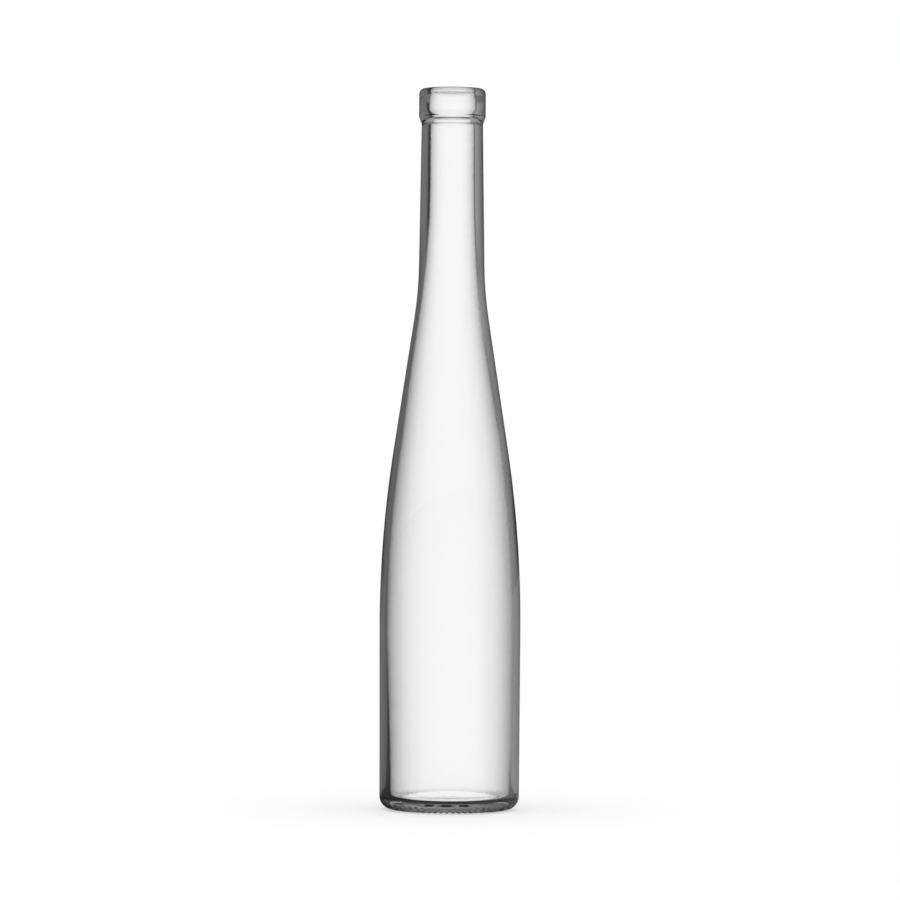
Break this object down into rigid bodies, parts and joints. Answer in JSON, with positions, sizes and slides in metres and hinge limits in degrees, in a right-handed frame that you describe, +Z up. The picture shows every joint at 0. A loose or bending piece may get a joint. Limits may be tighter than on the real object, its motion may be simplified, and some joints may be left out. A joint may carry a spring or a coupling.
{
  "type": "hock wine bottle",
  "caption": "Empty slender hock wine bottle in clear glass: straight body, long tapered shoulder and neck, ring finish for a cork, and a low punt.",
  "frame": {"origin": "middle of the bearing ring that the bottle stands on", "axes": "+Z up the bottle's axis, towards the mouth"},
  "size_m": [0.06, 0.06, 0.306],
  "materials": {
    "glass": "clear colourless bottle glass, fire-polished"
  },
  "bodies": {
    "root": {"bottle": "glass"}
  },
  "joints": []
}
